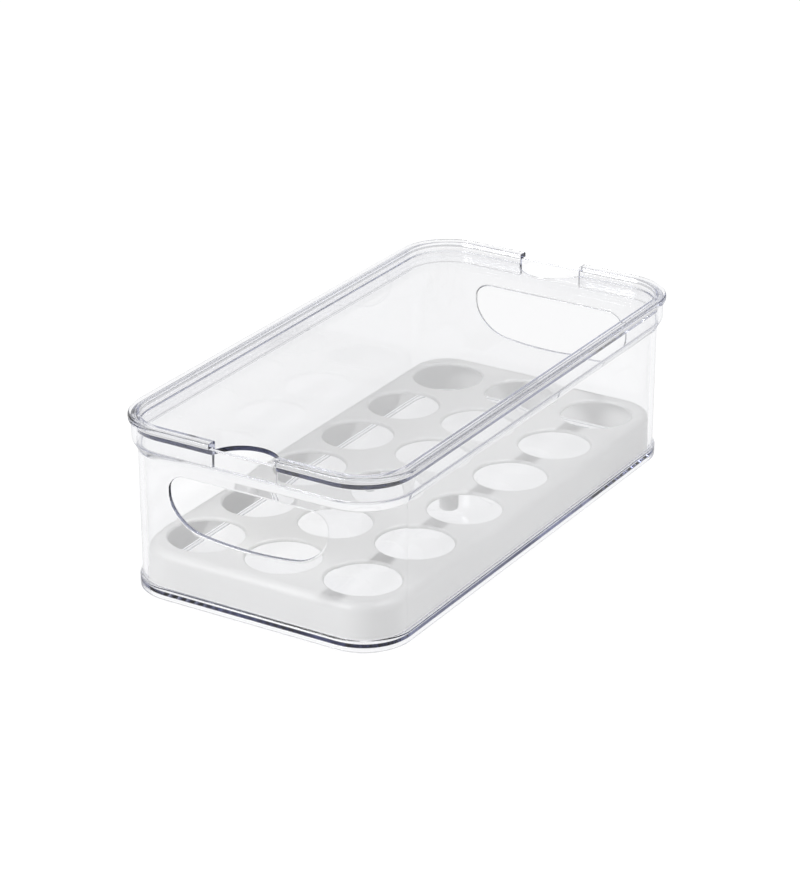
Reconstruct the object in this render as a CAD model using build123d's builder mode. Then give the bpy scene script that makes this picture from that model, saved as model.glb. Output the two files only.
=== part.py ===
"""Stackable egg keeper: a clear bin, its lift-off lid and a drop-in egg tray."""
import math
import os

from build123d import *

os.makedirs("parts", exist_ok=True)

# Millimetres. X is the width, Y the length, Z up. The origin lies on the surface that the
# keeper stands on, under its middle. The lid's lip is the widest outline, and every other
# outline is that one set in by a distance, so all the corners stay concentric.

# Overall size, over the lid's lip
overall_length = 308.0
overall_width = 160.5
overall_height = 94.5
lip_corner_radius = 30.0

# Running gaps
lid_gap = 0.3            # lid skirt to collar, lid skirt to ledge, lid lip to collar
nest_gap = 0.4           # foot ring to the rim of the lid that it stacks in
stack_clearance = 3.2    # foot ring to that lid's panel, with the base bead standing on its rim
tray_side_gap = 0.6      # egg tray to the bin's wall
tray_floor_gap = 0.3     # egg tray to the bin's floor

edge_bevel = 0.5         # small bevel on moulded edges

# Lid
lip_thickness = 3.0      # rim that lies over the bin's collar
lip_overhang = 1.5       # lip past the outside of the collar
lip_bevel = 1.2
skirt_thickness = 2.0    # wall that drops inside the collar
panel_recess = 4.8       # panel below the top of the rim, where a foot ring nests
panel_thickness = 2.5
panel_bevel = 1.2
notch_width = 36.4       # gap in rim and skirt at each short end
scoop_reach = 18.9       # lip's end to the far side of the half-round finger scoop in the panel

# Bin
collar_thickness = 2.2
collar_height = 9.8      # upright part, outside
ledge_drop = 10.6        # collar top down to the ledge inside it
shoulder_step = 3.0      # how far the collar stands out from the wall
shoulder_height = 5.5
wall_thickness = 2.2
wall_draft = 0.25        # degrees, wider at the top
floor_thickness = 2.4
floor_clearance = 2.8    # floor's underside over what the keeper stands on
floor_corner = 1.6       # bevel inside, where the walls meet the floor
bead_projection = 1.3    # base bead, out from the wall
bead_height = 6.4
bead_bevel = 1.0
foot_thickness = 2.2     # standing ring under the floor
slot_width = 91.0        # hand slot in each short wall
slot_height = 30.1
slot_below_collar = 20.6
slot_bow_radius = 190.0  # bottom edge
slot_lower_radius = 18.0
slot_upper_radius = 9.0
slot_bevel = 0.6

# Egg tray
tray_height = 20.0
tray_thickness = 2.0
tray_draft = 1.5         # degrees, narrower at the top
tray_shoulder = 5.0
tray_foot_bevel = 1.2    # leads the tray past the bevel round the floor
seat_radius = 19.1       # at the deck's underside
seat_flare = 30.0        # degrees, wider at the top, so that an egg sits on a slope
seat_side_margin = 7.5   # seat edge to the tray's side
seat_end_margin = 10.0
least_bridge = 6.5       # deck left between two seats
post_radius = 5.0        # hollow posts under the middle of the deck, short of the floor
post_bore_radius = 3.2
post_length = 13.2

# Heights
lip_underside = overall_height - lip_thickness
collar_top = lip_underside - lid_gap
collar_bottom = collar_top - collar_height
shoulder_bottom = collar_bottom - shoulder_height
ledge_top = collar_top - ledge_drop
panel_top = overall_height - panel_recess
panel_underside = panel_top - panel_thickness
skirt_bottom = ledge_top + lid_gap
foot_height = panel_recess - stack_clearance
bead_top = foot_height + bead_height
floor_top = floor_clearance + floor_thickness
tray_bottom = floor_top + tray_floor_gap
tray_top = tray_bottom + tray_height
deck_underside = tray_top - tray_thickness
post_foot = deck_underside - post_length
slot_bottom = collar_top - slot_below_collar - slot_height

# Insets from the lip's outline
wall_lean = (shoulder_bottom - bead_top) * math.tan(math.radians(wall_draft))
shoulder_angle = math.degrees(math.atan2(shoulder_step, shoulder_height))
collar_outside = lip_overhang
collar_inside = collar_outside + collar_thickness
skirt_outside = collar_inside + lid_gap
skirt_inside = skirt_outside + skirt_thickness
foot_outside = skirt_inside + nest_gap
foot_inside = foot_outside + foot_thickness
wall_outside_top = collar_outside + shoulder_step
wall_outside_base = wall_outside_top + wall_lean
wall_inside_base = wall_outside_base + wall_thickness
bead_outside = wall_outside_base - bead_projection
tray_outside = wall_inside_base + tray_side_gap

# Finger scoop: an arc that starts from the notch's inner corners
scoop_rise = scoop_reach - skirt_inside
scoop_radius = (scoop_rise**2 + (notch_width / 2) ** 2) / (2 * scoop_rise)

# Egg seats: as many as the tray holds, spread evenly between the margins
seat_span_x = overall_width - 2 * (tray_outside + seat_side_margin + seat_radius)
seat_span_y = overall_length - 2 * (tray_outside + seat_end_margin + seat_radius)
least_pitch = 2 * seat_radius + least_bridge
seat_columns = 1 + int(seat_span_x // least_pitch)
seat_rows = 1 + int(seat_span_y // least_pitch)
seat_pitch_x = seat_span_x / (seat_columns - 1)
seat_pitch_y = seat_span_y / (seat_rows - 1)
post_y = 0.0 if seat_rows % 2 == 0 else seat_pitch_y / 2
near = 0.01              # how closely an edge's place is matched


def footprint(inset, mode=Mode.ADD):
    """The lip's rounded outline, set in by a distance."""
    return RectangleRounded(
        overall_width - 2 * inset, overall_length - 2 * inset, lip_corner_radius - inset, mode=mode
    )


def outline(part, height, inset):
    """The straight edges of the outline at one height and inset; a fillet runs on round its corners."""
    level = part.edges().filter_by_position(Axis.Z, height - near, height + near)
    return level.filter_by(
        lambda edge: abs(abs(edge.center().X) - overall_width / 2 + inset) < near
        or abs(abs(edge.center().Y) - overall_length / 2 + inset) < near
    )


# Bin: one clear moulding. A standing ring, a floor with a bead round it, drafted walls, and a
# collar that steps out over a shoulder and leaves a ledge inside for the lid's skirt.
with BuildPart() as bin_shell:
    with BuildSketch(Plane.XY):
        footprint(foot_outside)
    extrude(amount=foot_height)
    with BuildSketch(Plane.XY.offset(foot_height)):
        footprint(bead_outside)
    extrude(amount=bead_height)
    with BuildSketch(Plane.XY.offset(bead_top)):
        footprint(wall_outside_base)
    extrude(amount=shoulder_bottom - bead_top, taper=-wall_draft)
    with BuildSketch(Plane.XY.offset(shoulder_bottom)):
        footprint(wall_outside_top)
    extrude(amount=shoulder_height, taper=-shoulder_angle)
    with BuildSketch(Plane.XY.offset(collar_bottom)):
        footprint(collar_outside)
    extrude(amount=collar_height)

    # Inside: drafted cavity up to the ledge, then the wider space that takes the lid's skirt
    with BuildSketch(Plane.XY.offset(floor_top)):
        footprint(wall_inside_base)
    extrude(amount=ledge_top - floor_top, taper=-wall_draft, mode=Mode.SUBTRACT)
    with BuildSketch(Plane.XY.offset(ledge_top)):
        footprint(collar_inside)
    extrude(amount=ledge_drop, mode=Mode.SUBTRACT)

    # Hollow inside the standing ring
    with BuildSketch(Plane.XY):
        footprint(foot_inside)
    extrude(amount=floor_clearance, mode=Mode.SUBTRACT)

    # Hand slots: flat top, bowed bottom, both short walls in one cut
    with BuildSketch(Plane.XZ) as slot:
        with Locations((0, slot_bottom + slot_height / 2)):
            Rectangle(slot_width, slot_height)
        with Locations((0, slot_bottom + slot_bow_radius)):
            Circle(slot_bow_radius, mode=Mode.INTERSECT)
        fillet(slot.vertices().group_by(Axis.Y)[-1], radius=slot_upper_radius)
        fillet(slot.vertices().group_by(Axis.Y)[0], radius=slot_lower_radius)
    extrude(amount=overall_length / 2, both=True, mode=Mode.SUBTRACT)
    chamfer(bin_shell.edges(Select.LAST).filter_by(Axis.Y, reverse=True), length=slot_bevel)

    # Bevelled bead, and small bevels where the mould breaks its edges
    chamfer(outline(bin_shell, bead_top, bead_outside), length=bead_bevel)
    chamfer(outline(bin_shell, foot_height, bead_outside), length=bead_bevel)
    chamfer(outline(bin_shell, collar_top, collar_outside), length=edge_bevel)
    chamfer(outline(bin_shell, collar_top, collar_inside), length=edge_bevel)
    chamfer(outline(bin_shell, floor_top, wall_inside_base), length=floor_corner)
    chamfer(outline(bin_shell, 0, foot_outside), length=edge_bevel)

# Lid: one clear moulding. A flat panel set down inside a rim, whose lip lies over the collar
# and whose skirt stands on the ledge.
with BuildPart() as lid:
    with BuildSketch(Plane.XY.offset(skirt_bottom)):
        footprint(skirt_outside)
    extrude(amount=lip_underside - skirt_bottom)
    with BuildSketch(Plane.XY.offset(lip_underside)):
        footprint(0)
    extrude(amount=lip_thickness)
    with BuildSketch(Plane.XY.offset(panel_top)):
        footprint(skirt_inside)
    extrude(amount=panel_recess, mode=Mode.SUBTRACT)
    with BuildSketch(Plane.XY.offset(skirt_bottom)):
        footprint(skirt_inside)
    extrude(amount=panel_underside - skirt_bottom, mode=Mode.SUBTRACT)
    chamfer(outline(lid, overall_height, 0), length=lip_bevel)
    chamfer(outline(lid, lip_underside, 0), length=edge_bevel)
    chamfer(outline(lid, overall_height, skirt_inside), length=edge_bevel)
    chamfer(outline(lid, panel_top, skirt_inside), length=panel_bevel)
    chamfer(outline(lid, panel_underside, skirt_inside), length=panel_bevel)
    chamfer(outline(lid, skirt_bottom, skirt_outside), length=edge_bevel)

    # At both ends, a finger notch through rim and skirt, and the scoop in the panel behind it
    with BuildSketch(Plane.XY.offset(skirt_bottom)):
        for end in (-1, 1):
            with Locations((0, end * (overall_length / 2 - scoop_reach + scoop_radius))):
                Circle(scoop_radius)
        footprint(skirt_inside, mode=Mode.INTERSECT)
        for end in (-1, 1):
            with Locations((0, end * (overall_length - skirt_inside) / 2)):
                Rectangle(notch_width, skirt_inside)
    extrude(amount=overall_height - skirt_bottom, mode=Mode.SUBTRACT)

# Egg tray: one grey moulding, a thin drafted shell that is open below, with round seats in
# its deck and two hollow posts below it.
with BuildPart() as egg_tray:
    with BuildSketch(Plane.XY.offset(tray_bottom)):
        footprint(tray_outside)
    extrude(amount=tray_height, taper=tray_draft)
    offset(amount=-tray_thickness, openings=egg_tray.faces().sort_by(Axis.Z)[0])
    under_deck = egg_tray.edges().filter_by_position(Axis.Z, deck_underside - near, deck_underside + near)
    chamfer(under_deck, length=tray_thickness)
    fillet(egg_tray.edges().group_by(Axis.Z)[-1], radius=tray_shoulder)
    chamfer(outline(egg_tray, tray_bottom, tray_outside), length=tray_foot_bevel)
    with BuildSketch(Plane.XY.offset(post_foot)):
        with Locations((0, post_y)):
            with GridLocations(seat_pitch_x, seat_pitch_y, seat_columns - 1, 1):
                Circle(post_radius)
                Circle(post_bore_radius, mode=Mode.SUBTRACT)
    extrude(amount=deck_underside - post_foot)
    with BuildSketch(Plane.XY.offset(deck_underside)):
        with GridLocations(seat_pitch_x, seat_pitch_y, seat_columns, seat_rows):
            Circle(seat_radius)
    extrude(amount=tray_thickness, taper=-seat_flare, mode=Mode.SUBTRACT)

bin_shell.part.label = "bin"
lid.part.label = "lid"
egg_tray.part.label = "egg_tray"
export_step(bin_shell.part, "parts/bin.step")
export_step(lid.part, "parts/lid.step")
export_step(egg_tray.part, "parts/egg_tray.step")
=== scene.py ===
import math

import bmesh
import bpy
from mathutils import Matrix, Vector


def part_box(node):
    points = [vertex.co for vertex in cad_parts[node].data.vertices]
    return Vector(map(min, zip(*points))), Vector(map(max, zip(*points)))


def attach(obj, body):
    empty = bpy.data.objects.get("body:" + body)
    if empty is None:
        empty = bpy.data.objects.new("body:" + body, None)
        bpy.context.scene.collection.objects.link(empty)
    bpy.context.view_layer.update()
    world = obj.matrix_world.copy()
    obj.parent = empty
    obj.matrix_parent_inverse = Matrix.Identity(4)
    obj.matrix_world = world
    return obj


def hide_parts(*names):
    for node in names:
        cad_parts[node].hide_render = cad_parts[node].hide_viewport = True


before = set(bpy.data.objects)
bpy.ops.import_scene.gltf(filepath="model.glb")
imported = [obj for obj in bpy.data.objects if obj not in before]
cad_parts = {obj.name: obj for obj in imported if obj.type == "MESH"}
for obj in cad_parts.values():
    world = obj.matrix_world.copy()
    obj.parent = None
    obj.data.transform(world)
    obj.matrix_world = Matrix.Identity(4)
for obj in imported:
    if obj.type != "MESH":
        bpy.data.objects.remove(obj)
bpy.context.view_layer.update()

# Camera: a long lens that looks down on the keeper from in front of its near end, to the right.
# It stands about 1.6 m away, so that the two long sides run nearly parallel.
mm = 0.001
camera_azimuth = math.radians(31.47)
camera_elevation = math.radians(23.91)
camera_distance = 1646.9 * mm
camera_target = Vector((-3.03, -3.79, 41.3)) * mm
camera_lens = 143.26
to_camera = Vector((
    math.sin(camera_azimuth) * math.cos(camera_elevation),
    -math.cos(camera_azimuth) * math.cos(camera_elevation),
    math.sin(camera_elevation),
))
bpy.ops.object.camera_add(
    location=camera_target + to_camera * camera_distance,
    rotation=to_camera.to_track_quat("Z", "Y").to_euler(),
)
camera = bpy.context.object
camera.data.sensor_fit = "HORIZONTAL"
camera.data.lens = camera_lens
bpy.context.scene.camera = camera


class Link:
    """A node's output. It adds and multiplies as a number does, and other nodes grow from it."""

    def __init__(self, tree, output=None):
        self.tree, self.output = tree, output

    def node(self, kind, settings=None, inputs=None, output=0):
        """A new node: its settings first, then the values or links of its sockets."""
        made = self.tree.nodes.new(kind)
        for name, value in (settings or {}).items():
            if name == "stops":
                ramp = made.color_ramp.elements
                while len(ramp) < len(value):
                    ramp.new(0.5)
                for stop, (position, grey) in zip(ramp, value):
                    stop.position, stop.color = position, (grey, grey, grey, 1)
            else:
                setattr(made, name, value)
        for name, value in (inputs or {}).items():
            if isinstance(value, Link):
                self.tree.links.new(value.output, made.inputs[name])
            else:
                made.inputs[name].default_value = value
        return Link(self.tree, made.outputs[output] if made.outputs else None)

    def maths(self, operation, first, second=0.0):
        return self.node("ShaderNodeMath", {"operation": operation}, {0: first, 1: second})

    def __add__(self, other):
        return self.maths("ADD", self, other)

    def __sub__(self, other):
        return self.maths("SUBTRACT", self, other)

    def __rsub__(self, other):
        return self.maths("SUBTRACT", other, self)

    def __mul__(self, other):
        return self.maths("MULTIPLY", self, other)

    __radd__ = __add__
    __rmul__ = __mul__


def blank_tree(owner):
    """The owner's node tree, emptied."""
    owner.use_nodes = True
    owner.node_tree.nodes.clear()
    return Link(owner.node_tree)


# Floor: a white table top under the keeper. To the eye, and through clear plastic, it glows up to
# the white of the background, and the rest of its brightness comes from the lamps, so that the
# keeper's shadow stays.
table_size = 6
table_albedo = 0.12      # what it gives back of the lamps' light
table_glow = 0.94        # what it glows by itself, to the eye and through clear plastic
table_mirrored = 0.7     # what clear plastic mirrors of it
table_bounce = 1.2       # what it throws up at the grey tray
bpy.ops.mesh.primitive_plane_add(size=table_size)
table = bpy.context.object
table.name = "table"
white_table = bpy.data.materials.new("white_table")
tree = blank_tree(white_table)
ray = {name: tree.node("ShaderNodeLightPath", output=name) for name in (
    "Is Camera Ray", "Is Glossy Ray", "Is Transmission Ray", "Is Diffuse Ray")}
seen = ray["Is Camera Ray"] + ray["Is Transmission Ray"]
mirrored = tree.maths("GREATER_THAN", ray["Is Glossy Ray"] - ray["Is Transmission Ray"], 0.5)
paint = tree.node("ShaderNodeBsdfDiffuse", {}, {"Color": (table_albedo,) * 3 + (1,)})
brightness = (seen * table_glow + mirrored * table_mirrored
              + ray["Is Diffuse Ray"] * table_bounce)
glow = tree.node("ShaderNodeEmission", {}, {"Strength": brightness})
both = tree.node("ShaderNodeAddShader", {}, {0: paint, 1: glow})
tree.node("ShaderNodeOutputMaterial", {}, {"Surface": both})
table.data.materials.append(white_table)

# Light: a white room with one broad soft lamp in front and to the left, and a small one behind
# and to the right, high up, whose light draws the lid's rim on the tray. What clear plastic
# mirrors is darker between the white table and the white ceiling, as in a studio, and what its
# edges guide upwards is a little darker too: that draws their grey lines.
room_level = 0.45        # the white room's own light on the tray
dim_band = 0.3           # darkest of what clear plastic mirrors
dim_ceiling = 0.7        # what the plastic's edges guide down from the ceiling
lamps = {                # place, width in metres, watts
    "soft_lamp": (Vector((-0.6, -1.5, 1.3)), 1.0, 23),
    "small_lamp": (Vector((0.9, 0.3, 1.65)), 0.05, 17),
}
world = bpy.data.worlds.new("white_room")
bpy.context.scene.world = world
tree = blank_tree(world)
ray = {name: tree.node("ShaderNodeLightPath", output=name) for name in (
    "Is Camera Ray", "Is Glossy Ray", "Is Transmission Ray")}
direction = tree.node("ShaderNodeTexCoord", output="Generated")
rise = tree.node("ShaderNodeSeparateXYZ", {}, {0: direction}, output="Z")
studio_stops = [(0, 1), (0.35, 0.95), (0.42, 0.8), (0.52, dim_band), (0.8, dim_band), (0.92, 1)]
above_stops = [(0, 1), (0.2, 1), (0.3, dim_ceiling)]
studio = tree.node("ShaderNodeValToRGB", {"stops": studio_stops}, {"Fac": rise})
above = tree.node("ShaderNodeValToRGB", {"stops": above_stops}, {"Fac": rise})
bent = ray["Is Transmission Ray"]
mirrored = tree.maths("GREATER_THAN", ray["Is Glossy Ray"] - bent, 0.5)
level = (ray["Is Camera Ray"] + mirrored * studio + bent * above
         + (1 - ray["Is Camera Ray"] - mirrored - bent) * room_level)
sky = tree.node("ShaderNodeBackground", {}, {"Color": (1, 1, 1, 1), "Strength": level})
tree.node("ShaderNodeOutputWorld", {}, {"Surface": sky})
for name, (spot, size, watts) in lamps.items():
    bpy.ops.object.light_add(
        type="AREA", location=spot, rotation=spot.to_track_quat("Z", "Y").to_euler())
    lamp = bpy.context.object
    lamp.name = name
    lamp.data.shape, lamp.data.size, lamp.data.energy = "DISK", size, watts

# Bin: one clear styrene moulding. A standing ring carries the floor, a rounded bead runs round the
# base, and the drafted walls step out over a shoulder to a collar, with a ledge inside it for the
# lid. Each short wall has a hand slot, flat along the top and bowed along the bottom.
lip_low, lip_high = (Vector(corner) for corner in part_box("lid"))
rim_width, rim_length = lip_high.x - lip_low.x, lip_high.y - lip_low.y
corner_radius = 30 * mm
corner_steps = 20

bin_foot = (6.4, 8.6, 1.6)            # ring: outside and inside, in from the lip's outline; height
bin_floor = (2.8, 5.2)                # underside, top
bin_floor_corner = 0.4                # rounding where the walls rise from the floor
bin_bead = (3.496, 8.0)               # outermost inset, top
bin_wall_foot = (4.796, 6.996)        # outside and inside at the base
bin_wall_head = (4.5, 6.676)          # outside under the shoulder, inside at the ledge
bin_shoulder = 75.9
bin_collar = (1.5, 3.7, 81.4, 91.2)   # outside, inside, bottom, top
bin_ledge = 80.6
slot_width, slot_low, slot_high = 91 * mm, 40.5 * mm, 70.6 * mm
slot_corners = (9 * mm, 18 * mm)      # upper, lower
slot_bow = 190 * mm                   # radius of the lower edge
slot_rounding = (1.6, 0.4)            # outer face, inner face
wall_middle = 5.5 * mm                # between the wall's two faces, in from the lip's outline
plastic_tint = (0.975, 0.975, 0.975, 1)
plastic_index = 1.5
plastic_haze = 0.012                  # the most that handling has roughened it
plastic_edge = (0.22, 0.26, 0.48, 1)  # what a long way through the plastic does to white
plastic_depth = 11.5
straight_pass = (0.96, 0.96, 0.96, 1)  # lamp light that goes through a face
bent_pass = (0.05, 0.05, 0.05, 1)      # and what is left of it past an edge
grazing = 5.0                          # how suddenly a face turns light away
rim_band, rim_foot, rim_loss = 6 * mm, 80 * mm, 0.8  # where the thick rim bends it away too


def inset_of(point):
    """How far inside the lip's outline a point lies."""
    x, y = abs(point.x) - rim_width / 2, abs(point.y) - rim_length / 2
    if x > -corner_radius and y > -corner_radius:
        return corner_radius - math.hypot(x + corner_radius, y + corner_radius)
    return -max(x, y)


def only(piece):
    """Selects a piece by itself, as the one that the next step works on."""
    bpy.ops.object.select_all(action="DESELECT")
    piece.select_set(True)
    bpy.context.view_layer.objects.active = piece


def start(name, primitive, **shape):
    """A primitive by itself in edit mode, ready to be shaped."""
    bpy.ops.object.select_all(action="DESELECT")
    primitive(enter_editmode=True, **shape)
    bpy.context.object.name = name
    return bpy.context.object


def select(piece, wanted, kind="EDGE"):
    """In edit mode, selects what the test holds for, and nothing else."""
    bpy.ops.mesh.select_mode(type=kind)
    bpy.ops.mesh.select_all(action="DESELECT")
    made = bmesh.from_edit_mesh(piece.data)
    for part in {"VERT": made.verts, "EDGE": made.edges, "FACE": made.faces}[kind]:
        part.select_set(bool(wanted(part)))
    made.select_flush_mode()
    bmesh.update_edit_mesh(piece.data)


def moulding(name, section):
    """A shell drawn out from a flat rounded plate, ring after ring.

    A ring is its inset from the lip's outline, its height and its rounding, in millimetres."""
    tolerance = 0.02 * mm
    inset, height, _ = section[0]
    piece = start(name, bpy.ops.mesh.primitive_plane_add, size=1)
    bpy.ops.transform.resize(value=(rim_width - 2 * inset * mm, rim_length - 2 * inset * mm, 1))
    bpy.ops.transform.translate(value=(0, 0, height * mm))
    bpy.ops.mesh.bevel(offset=corner_radius - inset * mm, affect="VERTICES", segments=corner_steps)
    for next_inset, next_height, _ in section[1:]:
        bpy.ops.mesh.extrude_region_move(
            TRANSFORM_OT_translate={"value": (0, 0, (next_height - height) * mm)})
        ring = {v.index for v in bmesh.from_edit_mesh(piece.data).verts if v.select}
        growth = (corner_radius - next_inset * mm) / (corner_radius - inset * mm)
        if next_inset != inset:
            for side in (-1, 1):
                for end in (-1, 1):
                    select(piece, lambda v: v.index in ring and v.co.x * side > 0
                           and v.co.y * end > 0, "VERT")
                    bpy.ops.transform.resize(value=(growth, growth, 1), center_override=(
                        side * (rim_width / 2 - corner_radius),
                        end * (rim_length / 2 - corner_radius), next_height * mm))
            select(piece, lambda v: v.index in ring, "VERT")
            bpy.ops.mesh.select_mode(type="FACE")
        inset, height = next_inset, next_height
    bpy.ops.mesh.select_all(action="SELECT")
    bpy.ops.mesh.normals_make_consistent(inside=False)
    for inset, height, rounding in section:
        select(piece, lambda edge: all(
            abs(v.co.z - height * mm) < tolerance and abs(inset_of(v.co) - inset * mm) < tolerance
            for v in edge.verts))
        steps = max(3, round(1.6 * rounding))
        bpy.ops.mesh.bevel(offset=rounding * mm, segments=steps, clamp_overlap=False)
    bpy.ops.object.mode_set(mode="OBJECT")
    return piece


def combine(piece, operation, other):
    """Joins the other shape to the piece, or takes it out of it, and removes the other."""
    change = piece.modifiers.new("change", "BOOLEAN")
    change.operation, change.object, change.solver = operation, other, "EXACT"
    only(piece)
    bpy.ops.object.modifier_apply(modifier="change")
    bpy.data.objects.remove(other)


def soften(piece, rounding, where):
    """Rounds the sharp edges that a cut has left in one region."""
    only(piece)
    bpy.ops.object.mode_set(mode="EDIT")
    bpy.ops.mesh.select_all(action="SELECT")
    bpy.ops.mesh.remove_doubles(threshold=0.01 * mm)
    select(piece, lambda edge: edge.is_manifold and edge.calc_face_angle() > math.radians(50)
           and all(where(v.co) for v in edge.verts))
    bpy.ops.mesh.bevel(offset=rounding * mm, segments=3, clamp_overlap=False)
    bpy.ops.object.mode_set(mode="OBJECT")


def place(piece, body, node, material):
    """Smooth shading, finish and body of a piece that stands for a CAD node."""
    only(piece)
    bpy.ops.object.shade_smooth_by_angle(angle=math.radians(35))
    flat_faces = piece.modifiers.new("flat_faces", "WEIGHTED_NORMAL")
    flat_faces.keep_sharp = True
    bpy.ops.object.modifier_apply(modifier="flat_faces")
    piece.data.materials.clear()
    piece.data.materials.append(material)
    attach(piece, body)
    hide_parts(node)


foot_outside, foot_inside, foot_height = bin_foot
floor_underside, floor_top = bin_floor
collar_outside, collar_inside, collar_bottom, collar_top = bin_collar
bead_outside, bead_top = bin_bead
bin_shell = moulding("bin_shell", [
    (foot_inside, floor_underside, 0.4), (foot_inside, 0, 0.5), (foot_outside, 0, 0.6),
    (foot_outside, foot_height, 0.3), (bead_outside, foot_height, 0.7),
    (bead_outside, bead_top, 1.0), (bin_wall_foot[0], bead_top, 0.5),
    (bin_wall_head[0], bin_shoulder, 0.5),
    (collar_outside, collar_bottom, 0.4), (collar_outside, collar_top, 0.6),
    (collar_inside, collar_top, 0.6), (collar_inside, bin_ledge, 0.2),
    (bin_wall_head[1], bin_ledge, 0.2), (bin_wall_foot[1], floor_top, bin_floor_corner)])

slot_middle = (slot_low + slot_high) / 2
slot_cutter = start("slot_cutter", bpy.ops.mesh.primitive_plane_add, size=1)
bpy.ops.transform.resize(value=(slot_width, slot_high - slot_low, 1))
bpy.ops.mesh.select_all(action="SELECT")
made = bmesh.from_edit_mesh(slot_cutter.data)
for v in made.verts:
    v.co = (v.co.x, -rim_length, slot_middle + v.co.y)
bmesh.update_edit_mesh(slot_cutter.data)
for corner, upper in zip(slot_corners, (True, False)):
    select(slot_cutter, lambda v: abs(v.co.x) > slot_width / 2 - mm
           and (v.co.z > slot_middle) == upper, "VERT")
    bpy.ops.mesh.bevel(offset=corner, affect="VERTICES", segments=12, clamp_overlap=False)
select(slot_cutter, lambda edge: all(v.co.z < slot_low + 0.1 * mm for v in edge.verts))
bpy.ops.mesh.subdivide(number_cuts=15)
made = bmesh.from_edit_mesh(slot_cutter.data)
for v in made.verts:
    rise = slot_bow - math.sqrt(slot_bow**2 - v.co.x**2)
    v.co.z += rise * (slot_high - v.co.z) / (slot_high - slot_low)
bmesh.update_edit_mesh(slot_cutter.data)
bpy.ops.mesh.select_all(action="SELECT")
bpy.ops.mesh.extrude_region_move(TRANSFORM_OT_translate={"value": (0, 2 * rim_length, 0)})
bpy.ops.mesh.select_all(action="SELECT")
bpy.ops.mesh.normals_make_consistent(inside=False)
bpy.ops.object.mode_set(mode="OBJECT")
combine(bin_shell, "DIFFERENCE", slot_cutter)
for rounding, outer in zip(slot_rounding, (True, False)):
    soften(bin_shell, rounding, lambda point: (inset_of(point) < wall_middle) == outer
           and abs(point.x) < slot_width / 2 + mm and slot_low - mm < point.z < slot_high + mm
           and abs(point.y) > rim_length / 2 - 12 * mm)

clear_plastic = bpy.data.materials.new("clear_plastic")
tree = blank_tree(clear_plastic)
spot = tree.node("ShaderNodeTexCoord", output="Object")
handling = tree.node("ShaderNodeTexNoise", {}, {
    "Vector": spot, "Scale": 60.0, "Detail": 5.0, "Roughness": 0.7})
plastic = tree.node("ShaderNodeBsdfPrincipled", {}, {
    "Base Color": plastic_tint, "IOR": plastic_index, "Transmission Weight": 1.0,
    "Roughness": handling * plastic_haze})
lamp_ray = tree.node("ShaderNodeLightPath", output="Is Shadow Ray")
bounce_ray = tree.node("ShaderNodeLightPath", output="Is Diffuse Ray")
passing = tree.maths("MAXIMUM", lamp_ray, bounce_ray)
edge_on = tree.node("ShaderNodeLayerWeight", {}, {"Blend": 0.5}, output="Facing")
across, along, up = (
    tree.node("ShaderNodeSeparateXYZ", {}, {0: spot}, output=axis) for axis in "XYZ")
past_panel = tree.maths(
    "MAXIMUM", tree.maths("ABSOLUTE", across) - (rim_width / 2 - rim_band),
    tree.maths("ABSOLUTE", along) - (rim_length / 2 - rim_band))
in_rim = tree.maths("GREATER_THAN", past_panel, 0.0) * tree.maths("GREATER_THAN", up, rim_foot)
lost = tree.maths("MAXIMUM", tree.maths("POWER", edge_on, grazing), in_rim * rim_loss)
dark_pass = tree.node("ShaderNodeBsdfTransparent", {}, {"Color": bent_pass})
clear_pass = tree.node("ShaderNodeBsdfTransparent", {}, {"Color": straight_pass})
inner = tree.node("ShaderNodeMixShader", {}, {0: passing, 1: plastic, 2: dark_pass})
outer = tree.node("ShaderNodeMixShader", {}, {0: passing * (1 - lost), 1: inner, 2: clear_pass})
depth = tree.node("ShaderNodeVolumeAbsorption", {}, {
    "Color": plastic_edge, "Density": plastic_depth})
tree.node("ShaderNodeOutputMaterial", {}, {"Surface": outer, "Volume": depth})
place(bin_shell, "bin", "bin", clear_plastic)

# Egg tray: one light grey polypropylene moulding that drops in on to the bin's floor. A thin
# drafted shell, open below, with a rounded shoulder, round seats whose rims are rounded too, and
# two hollow posts under the middle of the deck.
deck_thickness = 2.0
tray_low, tray_high = (Vector(corner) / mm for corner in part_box("egg_tray"))
tray_foot = tray_low.z
deck_top, deck_underside = tray_high.z, tray_high.z - deck_thickness
tray_skirt_foot = (7.596, 9.596)       # outside and inside, in from the lip's outline
tray_skirt_head = (8.120, 10.069)
tray_shoulders = (5.0, 2.5)            # rounding outside and inside
seat_columns, seat_rows = 3, 6
seat_pitch = Vector((46.054, 46.922)) * mm
seat_radius = 19.1 * mm
seat_rims = (1.4, 0.3)                 # rounding on top and below
post_radius, post_bore, post_rounding = 5 * mm, 3.2 * mm, 1.3 * mm
post_foot = deck_underside - 13.2
tray_greys = ((0.735, 0.735, 0.73, 1), (0.775, 0.775, 0.77, 1))
grain_height = 0.03 * mm


def seat_centre(column, row):
    """The middle of an egg seat."""
    return Vector(((column - (seat_columns - 1) / 2) * seat_pitch.x,
                   (row - (seat_rows - 1) / 2) * seat_pitch.y))


def copied(shape, move):
    """A copy of a shape, moved, with its own mesh."""
    only(shape)
    bpy.ops.object.duplicate_move(TRANSFORM_OT_translate={"value": move})
    return bpy.context.object


def nearest_seat(point):
    """The middle of the egg seat that a point lies nearest to."""
    return seat_centre(*(round(reach / pitch + (count - 1) / 2) for reach, pitch, count in (
        (point.x, seat_pitch.x, seat_columns), (point.y, seat_pitch.y, seat_rows))))


tray = moulding("egg_tray_shell", [
    (tray_skirt_head[1], deck_underside, tray_shoulders[1]),
    (tray_skirt_foot[1], tray_foot, 0.5), (tray_skirt_foot[0], tray_foot, 1.2),
    (tray_skirt_head[0], deck_top, tray_shoulders[0])])

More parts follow.
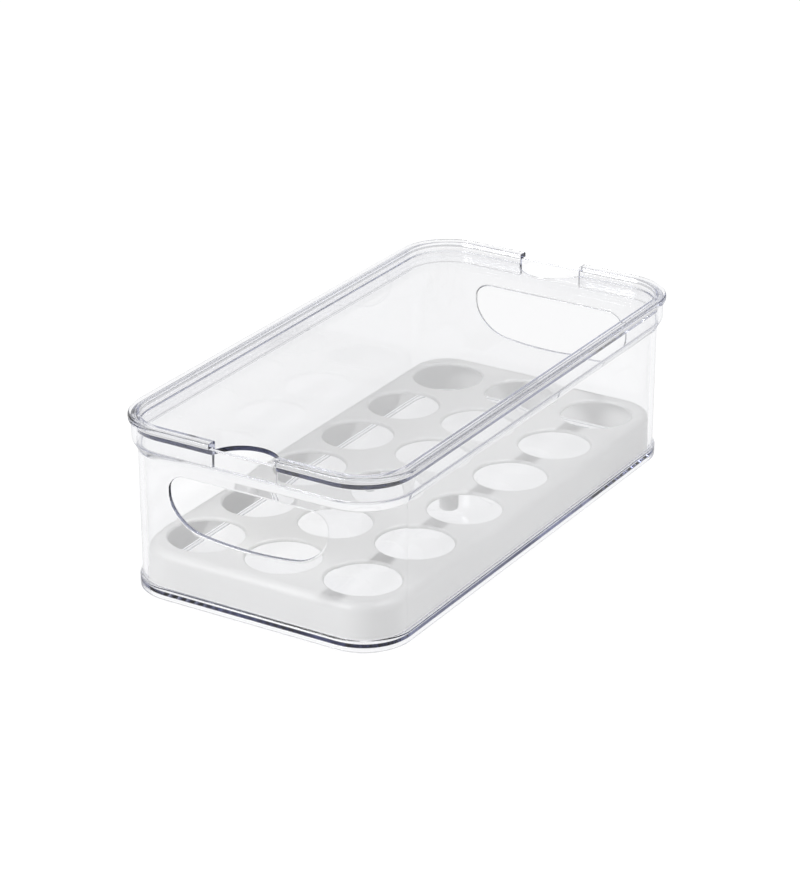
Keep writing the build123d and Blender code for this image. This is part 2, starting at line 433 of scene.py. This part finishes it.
post = start("post", bpy.ops.mesh.primitive_cylinder_add, vertices=48, radius=post_radius,
             depth=(deck_underside + 0.5 - post_foot) * mm)
bpy.ops.transform.translate(value=(0, 0, (deck_underside + 0.5 + post_foot) / 2 * mm))
select(post, lambda face: face.normal.z < -0.9, "FACE")
bpy.ops.mesh.inset(thickness=post_radius - post_bore)
bpy.ops.mesh.extrude_region_move(
    TRANSFORM_OT_translate={"value": (0, 0, (deck_underside + 0.2 - post_foot) * mm)})
select(post, lambda edge: all(
    v.co.z < (post_foot + 0.1) * mm and v.co.xy.length > post_radius - 0.1 * mm
    for v in edge.verts))
bpy.ops.mesh.bevel(offset=post_rounding, segments=5)
bpy.ops.object.mode_set(mode="OBJECT")
for side in (-1, 1):
    combine(tray, "UNION", copied(post, (side * seat_pitch.x / 2, 0, 0)))
bpy.data.objects.remove(post)

punch = start("punch", bpy.ops.mesh.primitive_cylinder_add, vertices=96, radius=seat_radius,
              depth=20 * mm, location=(0, 0, deck_top * mm))
bpy.ops.object.mode_set(mode="OBJECT")
for row in range(seat_rows):
    for column in range(seat_columns):
        combine(tray, "DIFFERENCE", copied(punch, (*seat_centre(column, row), 0)))
bpy.data.objects.remove(punch)
for height, rounding in zip((deck_top, deck_underside), seat_rims):
    soften(tray, rounding, lambda point: abs(point.z - height * mm) < 0.02 * mm
           and abs((point.xy - nearest_seat(point)).length - seat_radius) < 0.1 * mm)

grey_plastic = bpy.data.materials.new("grey_plastic")
tree = blank_tree(grey_plastic)
spot = tree.node("ShaderNodeTexCoord", output="Object")
grain = tree.node("ShaderNodeTexNoise", {}, {"Vector": spot, "Scale": 1500.0, "Detail": 2.0})
flow = tree.node("ShaderNodeTexNoise", {}, {"Vector": spot, "Scale": 22.0, "Detail": 3.0})
shade = tree.node("ShaderNodeMix", {"data_type": "RGBA"}, {
    0: flow, 6: tray_greys[0], 7: tray_greys[1]}, output=2)
texture = tree.node("ShaderNodeBump", {}, {
    "Height": grain, "Strength": 0.25, "Distance": grain_height})
satin = tree.node("ShaderNodeBsdfPrincipled", {}, {
    "Base Color": shade, "Roughness": 0.38 + grain * 0.16, "Normal": texture})
tree.node("ShaderNodeOutputMaterial", {}, {"Surface": satin})
place(tray, "egg_tray", "egg_tray", grey_plastic)

# Lid: one clear styrene moulding that lifts straight off. A flat panel is set down inside a raised
# rim, whose lip lies over the bin's collar and whose skirt stands on the bin's ledge. At each
# short end a notch through the rim and a half-round scoop in the panel let a finger under it.
lid_lip = (91.5, 94.5)          # underside, top
lid_skirt = (4.0, 6.0, 80.9)    # outside and inside, in from the lip's outline; lower edge
lid_panel = (87.2, 89.7)        # underside, top
panel_rounding = 0.3            # where the panel meets the skirt and the rim
notch_width = 36.4 * mm
scoop_reach = 18.9 * mm         # how far the scoop comes in from the lip's end
cut_rounding = 0.4
cut_middle, cut_height, cut_depth = 90 * mm, 30 * mm, 10 * mm

skirt_outside, skirt_inside, skirt_bottom = lid_skirt
lid_shell = moulding("lid_shell", [
    (skirt_inside, lid_panel[0], panel_rounding), (skirt_inside, skirt_bottom, 0.2),
    (skirt_outside, skirt_bottom, 0.2), (skirt_outside, lid_lip[0], 0.2),
    (0.0, lid_lip[0], 0.5), (0.0, lid_lip[1], 1.2),
    (skirt_inside, lid_lip[1], 0.6), (skirt_inside, lid_panel[1], panel_rounding)])
rim_end = rim_length / 2 - skirt_inside * mm
scoop_rise = scoop_reach - skirt_inside * mm
scoop_radius = (scoop_rise**2 + (notch_width / 2) ** 2) / (2 * scoop_rise)
for end in (-1, 1):
    notch_place = (0, end * (rim_end + cut_depth / 2), cut_middle)
    notch = start("notch", bpy.ops.mesh.primitive_cube_add, size=1, location=notch_place)
    bpy.ops.transform.resize(
        value=(notch_width, cut_depth, cut_height), center_override=notch_place)
    bpy.ops.object.mode_set(mode="OBJECT")
    scoop_place = (0, end * (rim_length / 2 - scoop_reach + scoop_radius), cut_middle)
    scoop = start("scoop", bpy.ops.mesh.primitive_cylinder_add, vertices=192,
                  radius=scoop_radius, depth=cut_height, location=scoop_place)
    bpy.ops.mesh.bisect(plane_co=(0, end * rim_end, 0), plane_no=(0, end, 0),
                        use_fill=True, clear_outer=True)
    bpy.ops.object.mode_set(mode="OBJECT")
    for cutter in (notch, scoop):
        combine(lid_shell, "DIFFERENCE", cutter)
soften(lid_shell, cut_rounding, lambda point: abs(point.x) < notch_width / 2 + mm
       and abs(point.y) > rim_length / 2 - scoop_reach - mm)
place(lid_shell, "lid", "lid", clear_plastic)

# Picture: colours as they are, and enough bounces for light to find its way along the inside of
# a clear wall and out at its edge.
edge_bounces = 64
scene = bpy.context.scene
scene.view_settings.view_transform = "Standard"
scene.cycles.max_bounces = edge_bounces
scene.cycles.glossy_bounces = edge_bounces
scene.cycles.transmission_bounces = edge_bounces
scene.cycles.transparent_max_bounces = 24
